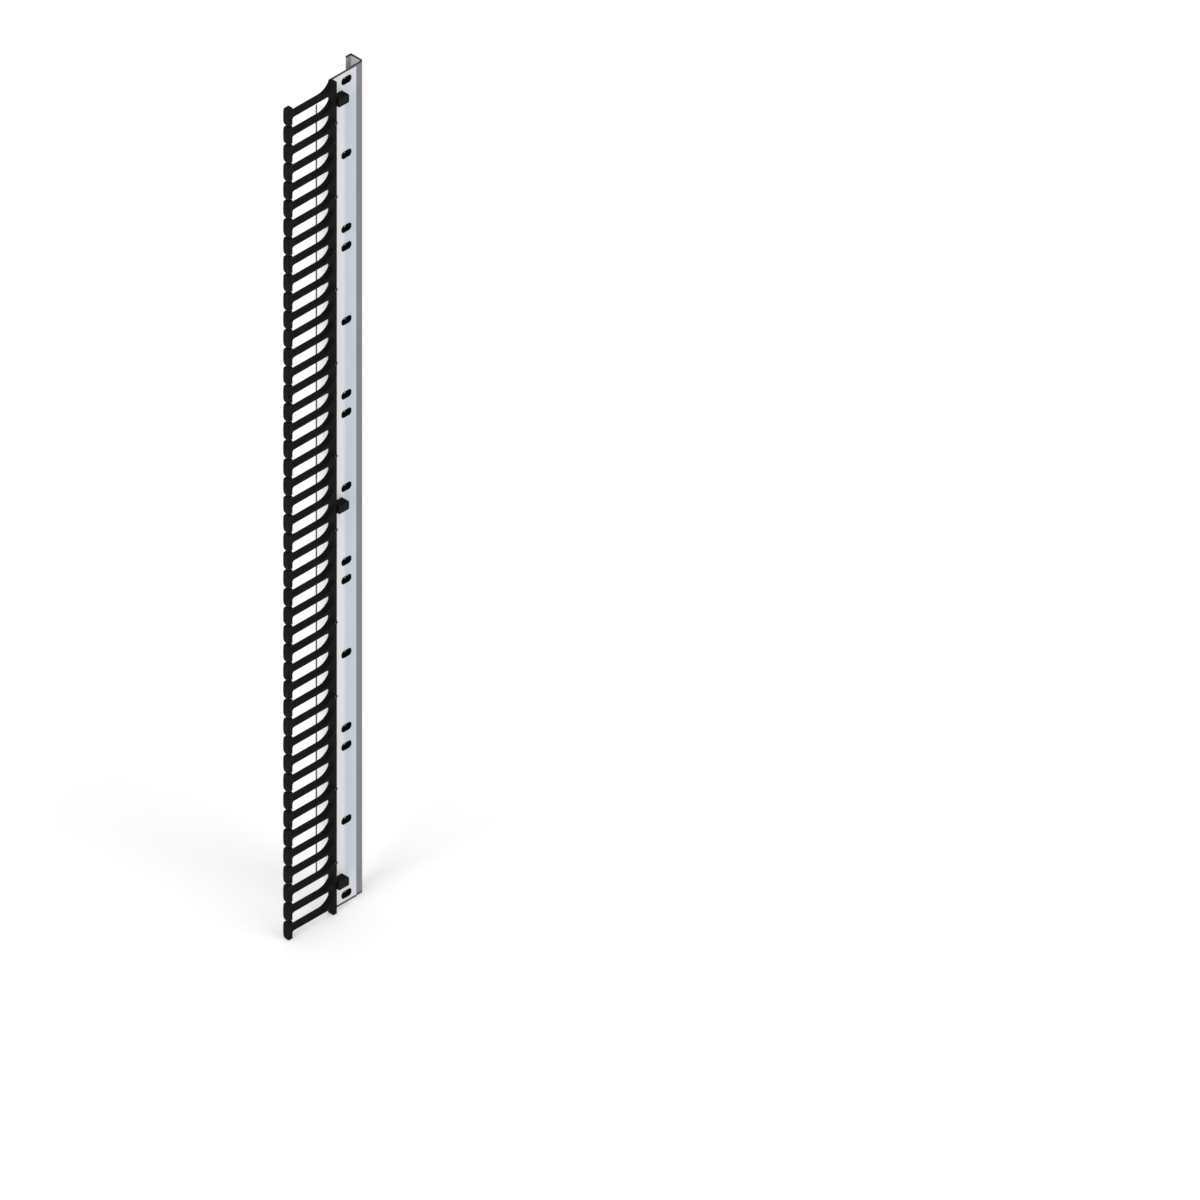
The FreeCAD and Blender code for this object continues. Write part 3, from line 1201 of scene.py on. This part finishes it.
@dataclass
class FingerComb:
    """One moulded comb of nine fingers, with its two screws.

    Attributes:
        number: Which comb it is, from the top.
        nylon: Its finish.
        oxide: The finish of its screws.
        sizes: What shapes it.
    """

    number: int
    nylon: Material
    oxide: Material
    sizes: CombSizes = field(default_factory=CombSizes)

    def __post_init__(self) -> None:
        """Reads the comb's place from the frame."""
        low, high = frame_box(f"finger_comb_{self.number}")
        self.tip, self.front, self.bottom = low
        self.right, self.back, self.top = high
        self.pitch = (self.top - self.bottom + self.sizes.end_gap) / self.sizes.units
        self.bar_left = self.right - self.sizes.bar_width
        self.share_top = self.top + self.sizes.end_gap / 2
        self.middles = [self.share_top - (unit + 0.5) * self.pitch for unit in range(self.sizes.units)]
        first = self.share_top - self.sizes.screw_drop
        self.screw_x = self.bar_left + self.sizes.screw_column
        self.screw_heights = [first, first - self.sizes.screw_fingers * self.pitch]

    def finger(self, z: float) -> list[Corner]:
        """The outline of one finger, from the bar above it round its head to the bar below it.

        Args:
            z: The height of the finger's middle.

        Returns:
            The corners.
        """
        s = self.sizes
        top, bottom = z + s.thickness / 2, z - s.thickness / 2
        inner = self.tip + s.head_length
        shoulder, neck = self.tip + s.crown_depth, inner + s.neck_chamfer
        head = s.head_height / 2
        sweep = math.asin(s.gusset_length / s.gusset_radius)
        gusset = arc_points(
            (self.bar_left - s.gusset_length, top + s.gusset_radius),
            s.gusset_radius, -math.pi / 2 + sweep, -math.pi / 2, ARC_STEPS,
        )
        crown_radius = (head**2 + s.crown_depth**2) / (2 * s.crown_depth)
        spread = math.asin(head / crown_radius)
        crown_centre = (self.tip + crown_radius, z)
        crown = arc_points(crown_centre, crown_radius, math.pi - spread, math.pi + spread, ARC_STEPS)
        corners = [(x, y, 0.0) for x, y in gusset]
        corners[0] = (*gusset[0], 1.0)
        corners += [(neck, top, s.neck_round), (inner, top + s.neck_chamfer, s.neck_round)]
        corners += [(inner, z + head, s.head_corner), (shoulder, z + head, s.shoulder_round)]
        corners += [(x, y, 0.0) for x, y in crown[1:-1]]
        corners += [(shoulder, z - head, s.shoulder_round), (inner, z - head, s.head_corner)]
        corners += [(inner, bottom - s.neck_chamfer, s.neck_round), (neck, bottom, s.neck_round)]
        corners.append((self.bar_left - s.root_chamfer, bottom, s.root_round))
        corners.append((self.bar_left, bottom - s.root_chamfer, s.root_round))
        return corners

    def round_heads(self, draft: MeshDraft) -> None:
        """Rounds the upper and lower ends of the heads, seen along the fingers.

        Args:
            draft: The comb's draft, whose head vertices are moved towards the fingers.
        """
        s = self.sizes
        inner, reach = self.tip + s.head_length + 0.01, s.head_height / 2
        for number, (x, y, z) in enumerate(draft.vertices):
            finger = min(self.middles, key=lambda height: abs(height - z))
            past = abs(z - finger) - s.head_flat
            if x > inner or past <= 0:
                continue
            half = reach
            for radius, depth in zip(s.head_round, (y - self.front, self.back - y)):
                over = max(0.0, radius - depth)
                half -= radius - math.sqrt(max(0.0, radius**2 - over**2))
            share = (half - s.head_flat) / (reach - s.head_flat)
            draft.vertices[number] = (x, y, finger + math.copysign(s.head_flat + past * share, z - finger))

    def core(self, z: float) -> Loop:
        """The outline of the pocket in the back of a finger's head.

        Args:
            z: The height of the finger's middle.

        Returns:
            The loop.
        """
        s = self.sizes
        left, right = self.tip + s.core_wall, self.tip + s.head_length - s.core_wall
        tall = s.core_height / 2
        low = tall - s.core_taper
        return rounded([(left, z - low, 1.0), (right, z - tall, 1.0), (right, z + tall, 1.0), (left, z + low, 1.0)], 4)

    def build(self) -> Pieces:
        """Makes the comb and its screws.

        Returns:
            The pieces.
        """
        s = self.sizes
        corners = [(self.bar_left, self.top, 1.0)]
        for z in self.middles:
            corners += self.finger(z)
        corners += [(self.bar_left, self.bottom, 1.0), (self.right, self.bottom, 1.0), (self.right, self.top, 1.0)]
        near, far = s.head_round
        depth = self.back - self.front
        rounding = [far * (1 - math.sin(math.radians(angle))) for angle in (0, 15, 30, 45, 60)]
        plate = MouldedPlate(
            outer=rounded(corners, 4),
            front=self.front,
            back=self.back,
            through=[circle((self.screw_x, z), s.screw_hole, HOLE_STEPS) for z in self.screw_heights],
            pockets=[(self.core(z), s.core_depth) for z in self.middles],
            softening=0.5,
            wall_rings=[near * 0.6, near, *(depth - reach for reach in rounding)],
        )
        draft = plate.draft(MeshDraft())
        self.round_heads(draft)
        comb = draft.piece(f"comb_moulding_{self.number}", self.nylon)
        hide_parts(f"finger_comb_{self.number}")

        low, high = frame_box(f"comb_screws_{self.number}")
        screws = MeshDraft()
        for z in self.screw_heights:
            HexScrew(
                x=self.screw_x, z=z, facing=Facing.FRONT, base=self.front, across_flats=high.x - low.x,
                head_height=self.front - low.y, length=high.y - self.front, recess=Recess.CROSS,
            ).draft(screws)
        pair = screws.piece(f"comb_screw_pair_{self.number}", self.oxide)
        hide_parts(f"comb_screws_{self.number}")
        return [comb, pair]


@dataclass
class MountingPanel:
    """The folded mounting panel, the clinch nuts pressed into it and the black linings in its slots, which are painted
    shade.

    Attributes:
        coat: The panel's finish.
        zinc: The nuts' finish.
        shade_black: The near-black finish of the slot linings, painted shade.
        combs: The combs that are screwed to it.
        blocks: The Z of each mounting block.
        sheet: The sheet's thickness.
        bend_radius: The inner radius of its bend.
        flange_setback: How far the flange ends from the two ends of the panel.
        flange_corner: The radius of the flange's free corners.
        slot_length: The length of a strap slot.
        slot_height: Its height.
        slot_crop: How far its corners are cropped.
        slot_column: How far the slots' middles stand from the panel's left side.
        slot_drop: How far the first slot lies below the top of a comb's share of the panel.
        slot_fingers: How many fingers lie between two slots.
        slots_per_comb: How many slots stand beside a comb.
        shade_lining_section: How far a slot's black lining is drawn in from the slot's ends and sides, at each depth
            from the face.
        nut_across_flats: The size of a clinch nut.
        nut_height: Its height.
        nut_hole: The radius of its hole.
        block_hole: The radius of a block screw's hole.
        lug_offset: How far a block's lug stands from its screw.
        lug_window: The width and height of the lug's window.
    """

    coat: Material
    zinc: Material
    shade_black: Material
    combs: list[FingerComb]
    blocks: list[float]
    sheet: float = 1.5
    bend_radius: float = 1.0
    flange_setback: float = 72.0
    flange_corner: float = 8.0
    slot_length: float = 25.0
    slot_height: float = 15.0
    slot_crop: float = 4.5
    slot_column: float = 51.0
    slot_drop: float = 24.2
    slot_fingers: int = 4
    slots_per_comb: int = 3
    shade_lining_section: tuple[Point3, ...] = (
        (-1.2, -1.2, 0.0), (-1.15, -1.15, -0.45), (-0.85, -0.85, -0.75), (-0.2, -0.2, -0.85), (0.25, 0.5, -0.7),
        (0.55, 1.2, -0.1), (0.8, 2.1, 1.2), (0.95, 2.7, 3.0), (1.0, 3.0, 5.5), (1.0, 3.0, 10.3), (0.8, 2.8, 10.5),
        (0.3, 0.5, 10.5), (0.05, 0.1, 10.1), (0.05, 0.05, 0.0),
    )
    nut_across_flats: float = 7.0
    nut_height: float = 3.2
    nut_hole: float = 2.05
    block_hole: float = 2.15
    lug_offset: float = 9.0
    lug_window: Point2 = (5.4, 12.4)

    def slot(self, along: float, z: float, narrower: float = 0.0, lower: float = 0.0) -> Loop:
        """The outline of a strap slot, with cropped and rounded corners.

        Args:
            along: The middle of the slot along the flat pattern.
            z: Its height.
            narrower: How far each of its ends is drawn in.
            lower: How far its upper and lower sides are drawn in.

        Returns:
            The loop.
        """
        a, b = self.slot_length / 2 - narrower, self.slot_height / 2 - lower
        c = max(1.0, self.slot_crop - max(0.0, lower))
        right = [(a - c, -b), (a, -b + c), (a, b - c), (a - c, b)]
        turned = right[1:] + [(-x, -y) for x, y in right] + right[:1]
        return rounded([(along + x, z + y, min(3.5, c)) for x, y in turned], 4)

    def slot_heights(self, comb: FingerComb) -> list[float]:
        """The heights of the strap slots beside a comb."""
        first = comb.share_top - self.slot_drop
        return [first - index * self.slot_fingers * comb.pitch for index in range(self.slots_per_comb)]

    def shade_lining(self, x: float, z: float, front: float, draft: MeshDraft) -> None:
        """Adds the black lining of one slot, a lip on the panel's face and a flared throat behind it, a dark piece that
        fills the slot as painted shade.

        Args:
            x: The middle of the slot.
            z: Its height.
            front: The Y of the panel's front face.
            draft: The draft.
        """
        levels = [
            [(across, front + rise, height) for across, height in self.slot(x, z, narrower, lower)]
            for narrower, lower, rise in self.shade_lining_section
        ]
        draft.rings([*levels, levels[0]])

    def build(self) -> Pieces:
        """Makes the panel, its nuts and the black slot linings that stand as painted shade.

        Returns:
            The pieces.
        """
        low, high = frame_box("mounting_panel")
        folded = FoldedSheet([(high.x, low.y), (low.x, low.y), (low.x, high.y)], self.sheet, self.bend_radius)
        (_, bend_start), (_, edge) = folded.flats()
        flange_low, flange_high = low.z + self.flange_setback, high.z - self.flange_setback
        outer = rounded(
            [
                (0.0, low.z, 0.4), (bend_start, low.z, 0.4), (bend_start, flange_low, 0.0),
                (edge, flange_low, self.flange_corner), (edge, flange_high, self.flange_corner),
                (bend_start, flange_high, 0.0), (bend_start, high.z, 0.4), (0.0, high.z, 0.4),
            ],
            8,
        )
        holes: list[Loop] = []
        nuts, shade_linings = MeshDraft(), MeshDraft()
        back = low.y + self.sheet
        for comb in self.combs:
            for z in self.slot_heights(comb):
                holes.append(self.slot(high.x - low.x - self.slot_column, z))
                self.shade_lining(low.x + self.slot_column, z, low.y, shade_linings)
            for z in comb.screw_heights:
                holes.append(circle((high.x - comb.screw_x, z), self.nut_hole, HOLE_STEPS))
                HexBush(
                    x=comb.screw_x, z=z, facing=Facing.BACK, base=back, across_flats=self.nut_across_flats,
                    length=self.nut_height, bore_radius=self.nut_hole,
                ).draft(nuts)
        for z in self.blocks:
            holes.append(circle((high.x, z), self.block_hole, HOLE_STEPS))
            holes.append(rounded_box((high.x - self.lug_offset, z), self.lug_window, 0.5))
        draft = folded.draft(outer, holes, folded.bend_lines(flange_low, flange_high))
        panel = draft.piece("panel_sheet", self.coat)
        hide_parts("mounting_panel")
        clinched = nuts.piece("clinch_nuts", self.zinc)
        slot_shade = shade_linings.piece("slot_shade_linings", self.shade_black)
        return [panel, clinched, slot_shade]


@dataclass
class EdgeRail:
    """The folded channel along the panel's right edge.

    Attributes:
        coat: Its finish.
        lip: The length of its return lip.
    """

    coat: Material
    lip: float = 15.0

    def build(self) -> Pieces:
        """Makes the rail.

        Returns:
            The pieces.
        """
        low, high = frame_box("edge_rail")
        corners = [(high.x - self.lip, high.y), (high.x, high.y), (high.x, low.y), (low.x, low.y)]
        folded = FoldedSheet(corners)
        end = folded.flats()[-1][1]
        outer = rounded([(0.0, low.z, 0.4), (end, low.z, 0.4), (end, high.z, 0.4), (0.0, high.z, 0.4)], 3)
        rail = folded.draft(outer, [], folded.bend_lines(low.z, high.z)).piece("rail_channel", self.coat)
        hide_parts("edge_rail")
        return [rail]


@dataclass
class MountingBlock:
    """One stand-off block with its threaded insert and the screw that holds it.

    Attributes:
        where: Which block it is: top, middle or bottom.
        nylon: The block's finish.
        brass: The insert's finish.
        zinc: The screw's finish.
        crop: How far its corners are cropped.
        sheet: The thickness of the panel behind it.
        screw_bite: How deep the screw goes into it.
        screw_hole: The radius of the screw's hole.
        lug: The width and height of the lug that stops it turning.
        lug_offset: How far the lug stands from the screw.
    """

    where: str
    nylon: Material
    brass: Material
    zinc: Material
    crop: float = 2.0
    sheet: float = 1.5
    screw_bite: float = 7.0
    screw_hole: float = 2.05
    lug: Point2 = (5.0, 12.0)
    lug_offset: float = 9.0

    @property
    def height(self) -> float:
        """The Z of the block's middle."""
        low, high = frame_box(f"mounting_block_{self.where}")
        return (low.z + high.z) / 2

    def build(self) -> Pieces:
        """Makes the block, its insert and its screw.

        Returns:
            The pieces.
        """
        low, high = frame_box(f"mounting_block_{self.where}")
        insert_low, insert_high = frame_box(f"block_insert_{self.where}")
        screw_low, screw_high = frame_box(f"block_screw_{self.where}")
        z = self.height
        back = high.y - self.sheet
        c = self.crop
        outline = [
            (low.x + c, low.z), (high.x - c, low.z), (high.x, low.z + c), (high.x, high.z - c),
            (high.x - c, high.z), (low.x + c, high.z), (low.x, high.z - c), (low.x, low.z + c),
        ]
        across = insert_high.x - insert_low.x
        radius = across / math.sqrt(3) + 0.02
        turns = [math.radians(30 + 60 * side) for side in range(6)]
        pocket = [(radius * math.cos(turn), z + radius * math.sin(turn)) for turn in turns]
        draft = MouldedPlate(
            outer=rounded([(x, y, 1.5) for x, y in outline], 4),
            front=low.y,
            back=back,
            pockets=[(circle((0.0, z), self.screw_hole, HOLE_STEPS), self.screw_bite + 0.8)],
            front_pockets=[(pocket, insert_high.y - insert_low.y + 0.02)],
            softening=0.35,
        ).draft(MeshDraft())
        MouldedPlate(
            outer=rounded_box((self.lug_offset, z), self.lug, 0.4),
            front=back - 0.5,
            back=high.y,
            softening=0.2,
        ).draft(draft)
        block = draft.piece(f"block_moulding_{self.where}", self.nylon)
        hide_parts(f"mounting_block_{self.where}")

        bush = MeshDraft()
        HexBush(
            x=0.0, z=z, facing=Facing.BACK, base=insert_low.y, across_flats=across,
            length=insert_high.y - insert_low.y, bore_radius=2.5, ridge=0.5, pitch=1.0, chamfer=0.0,
        ).draft(bush)
        insert = bush.piece(f"insert_bush_{self.where}", self.brass)
        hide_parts(f"block_insert_{self.where}")

        screw_draft = MeshDraft()
        HexScrew(
            x=0.0, z=z, facing=Facing.BACK, base=high.y, across_flats=screw_high.x - screw_low.x,
            head_height=screw_high.y - high.y, length=high.y - screw_low.y,
        ).draft(screw_draft)
        screw = screw_draft.piece(f"rear_screw_{self.where}", self.zinc)
        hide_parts(f"block_screw_{self.where}")
        return [block, insert, screw]


# The studio


def seen_rays(tree: bpy.types.NodeTree) -> Socket:
    """Tells the rays that look at something from those that light it.

    Args:
        tree: The nodes to add it to.

    Returns:
        1 for camera, glossy and transmission rays, and 0 for the others.
    """
    rays = tree.nodes.new("ShaderNodeLightPath")
    value = rays.outputs["Is Camera Ray"]
    for kind in ("Is Glossy Ray", "Is Transmission Ray"):
        either = tree.nodes.new("ShaderNodeMath")
        either.operation = "MAXIMUM"
        tree.links.new(value, either.inputs[0])
        tree.links.new(rays.outputs[kind], either.inputs[1])
        value = either.outputs[0]
    return value


@dataclass(frozen=True)
class Lamp:
    """A soft distant lamp.

    Attributes:
        name: Its name.
        towards: The way that its light runs.
        strength: Its strength in watts per square metre.
        softness: Its angle in degrees.
    """

    name: str
    towards: Point3
    strength: float
    softness: float

    def build(self) -> None:
        """Hangs the lamp."""
        data = bpy.data.lights.new(self.name, "SUN")
        data.energy = self.strength
        data.angle = math.radians(self.softness)
        lamp = bpy.data.objects.new(self.name, data)
        bpy.context.scene.collection.objects.link(lamp)
        lamp.rotation_mode = "QUATERNION"
        lamp.rotation_quaternion = Vector(self.towards).to_track_quat("-Z", "Y")


@dataclass
class Studio:
    """The floor, the light and the camera.

    Attributes:
        frame_pixels: The photograph's width and height.
        corner_pixel: Where the panel's upper left front corner lies in the photograph.
        pixels_per_metre: The photograph's scale.
        distance: How far the camera stands back.
        floor_size: The floor's width.
        floor_drop: How far the floor lies under the part.
        floor_lift: How much light is added to the floor where it is looked at.
        surround: How strong the even light is where the camera doesn't see it.
        lamps: The lamps.
    """

    frame_pixels: float = 1200.0
    corner_pixel: Point2 = (328.0, 80.4)
    pixels_per_metre: float = 509.5
    distance: float = 6.0
    floor_size: float = 60.0
    floor_drop: float = 0.0005
    floor_lift: float = 0.2
    surround: float = 0.62
    lamps: tuple[Lamp, ...] = (
        Lamp("key", (1.0, 0.1, -0.35), 2.2, 30.0),
        Lamp("front", (-0.1, 0.9, -0.45), 1.0, 40.0),
    )

    def camera(self) -> None:
        """Sets up the photograph's isometric view."""
        low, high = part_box("mounting_panel")
        corner = Vector((low.x, low.y, high.z))
        back = Vector((-1.0, -1.0, 1.0)).normalized()
        right = Vector((1.0, -1.0, 0.0)).normalized()
        up = back.cross(right)
        off_right = (self.corner_pixel[0] - self.frame_pixels / 2) / self.pixels_per_metre
        off_up = (self.frame_pixels / 2 - self.corner_pixel[1]) / self.pixels_per_metre
        aim = corner - right * off_right - up * off_up
        data = bpy.data.cameras.new("camera")
        data.type = "ORTHO"
        data.ortho_scale = self.frame_pixels / self.pixels_per_metre
        data.clip_end = 100.0
        camera = bpy.data.objects.new("camera", data)
        bpy.context.scene.collection.objects.link(camera)
        camera.matrix_world = Matrix.Translation(aim + back * self.distance) @ Matrix((
            (right.x, up.x, back.x, 0.0), (right.y, up.y, back.y, 0.0), (right.z, up.z, back.z, 0.0), (0, 0, 0, 1),
        ))
        bpy.context.scene.camera = camera

    def floor(self) -> None:
        """Lays a pale floor under the part."""
        low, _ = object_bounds()
        z = low.z - self.floor_drop
        half = self.floor_size / 2
        mesh = bpy.data.meshes.new("floor")
        mesh.from_pydata([(-half, -half, z), (half, -half, z), (half, half, z), (-half, half, z)], [], [(0, 1, 2, 3)])
        graph = NodeGraph.new("floor_paint")
        graph.shader.inputs["Base Color"].default_value = (0.86, 0.86, 0.86, 1.0)
        graph.shader.inputs["Roughness"].default_value = 0.9
        graph.shader.inputs["Specular IOR Level"].default_value = 0.1
        graph.shader.inputs["Emission Color"].default_value = (1.0, 1.0, 1.0, 1.0)
        seen = seen_rays(graph.material.node_tree)
        lift = graph.ranged(seen, (0.0, 1.0), (0.0, self.floor_lift))
        graph.join(lift, graph.shader.inputs["Emission Strength"])
        mesh.materials.append(graph.material)
        floor = bpy.data.objects.new("floor", mesh)
        bpy.context.scene.collection.objects.link(floor)
        floor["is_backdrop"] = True

    def world(self) -> None:
        """Surrounds the part with even white light."""
        world = bpy.data.worlds.new("studio")
        bpy.context.scene.world = world
        world.use_nodes = True
        nodes, links = world.node_tree.nodes, world.node_tree.links
        light = nodes["Background"]
        light.inputs["Strength"].default_value = self.surround
        white = nodes.new("ShaderNodeBackground")
        for node in (light, white):
            node.inputs["Color"].default_value = (1.0, 1.0, 1.0, 1.0)
        white.inputs["Strength"].default_value = 1.0
        mix = nodes.new("ShaderNodeMixShader")
        links.new(seen_rays(world.node_tree), mix.inputs["Fac"])
        links.new(light.outputs[0], mix.inputs[1])
        links.new(white.outputs[0], mix.inputs[2])
        links.new(mix.outputs[0], nodes["World Output"].inputs["Surface"])

    def build(self) -> None:
        """Makes the floor, the light and the camera."""
        scene = bpy.context.scene
        scene.view_settings.view_transform = "Standard"
        self.camera()
        self.floor()
        self.world()
        for lamp in self.lamps:
            lamp.build()
        log.info("studio ready")


def report(pieces: Pieces) -> None:
    """Logs each piece with its count of faces."""
    for piece in pieces:
        log.info("%s: %d faces", piece.name, len(piece.data.polygons))


def main() -> None:
    """Builds every piece in order, then the studio."""
    logging.basicConfig(level=logging.INFO, format="%(name)s: %(message)s")
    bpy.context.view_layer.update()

    comb_nylon = MouldedNylon("comb_nylon", (0.0026, 0.0023, 0.0023), sheen=0.05).build()
    block_nylon = MouldedNylon("block_nylon", (0.003, 0.0027, 0.0027), 0.5, 1100.0, 0.06).build()
    # Near-black finish of the slot linings, painted shade that fills the slots
    shade_black = MouldedNylon("slot_shade_black", (0.002, 0.002, 0.002), 0.7, 900.0, 0.03).build()
    panel_low, panel_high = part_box("mounting_panel")
    ends = (panel_low.z, panel_high.z)
    # The first tone is a painted highlight beside the combs; blue_grey is the panel's own colour
    pale, blue_grey = (0.72, 0.73, 0.755), (0.505, 0.565, 0.64)
    # The second tone here is the near-black colour of the band along the sheets' ends and free edge
    mid_grey, bare = (0.182, 0.18, 0.184), (0.012, 0.012, 0.013)
    panel_coat = SatinSheetCoat("panel_coat", pale, blue_grey, (0.014, 0.027), ends, panel_high.y, bare).build()
    rail_low, rail_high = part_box("edge_rail")
    # The rail's inner faces take the paler inside tone, which is painted light
    rail_coat = SatinSheetCoat(
        "rail_coat", mid_grey, mid_grey, (0.0, 0.1), ends, 1.0, bare, inside_right=rail_high.x - 0.0006,
        inside_depth=(rail_low.y + 0.0006, rail_high.y - 0.0006), roughness=0.42,
    ).build()
    oxide = MetalFinish("black_oxide", (0.035, 0.034, 0.034), 0.6, 0.38).build()
    zinc = MetalFinish("zinc_plate", (0.62, 0.63, 0.65), 1.0, 0.32).build()
    brass = MetalFinish("blackened_brass", (0.012, 0.01, 0.007), 0.8, 0.45).build()

    blocks = [MountingBlock(where, block_nylon, brass, zinc) for where in ("top", "middle", "bottom")]
    combs = [FingerComb(number, comb_nylon, oxide) for number in range(1, 6)]
    panel = MountingPanel(panel_coat, zinc, shade_black, combs, [block.height for block in blocks])
    for assembly in [panel, EdgeRail(rail_coat), *combs, *blocks]:
        report(assembly.build())
    Studio().build()


if __name__ == "__main__":
    main()
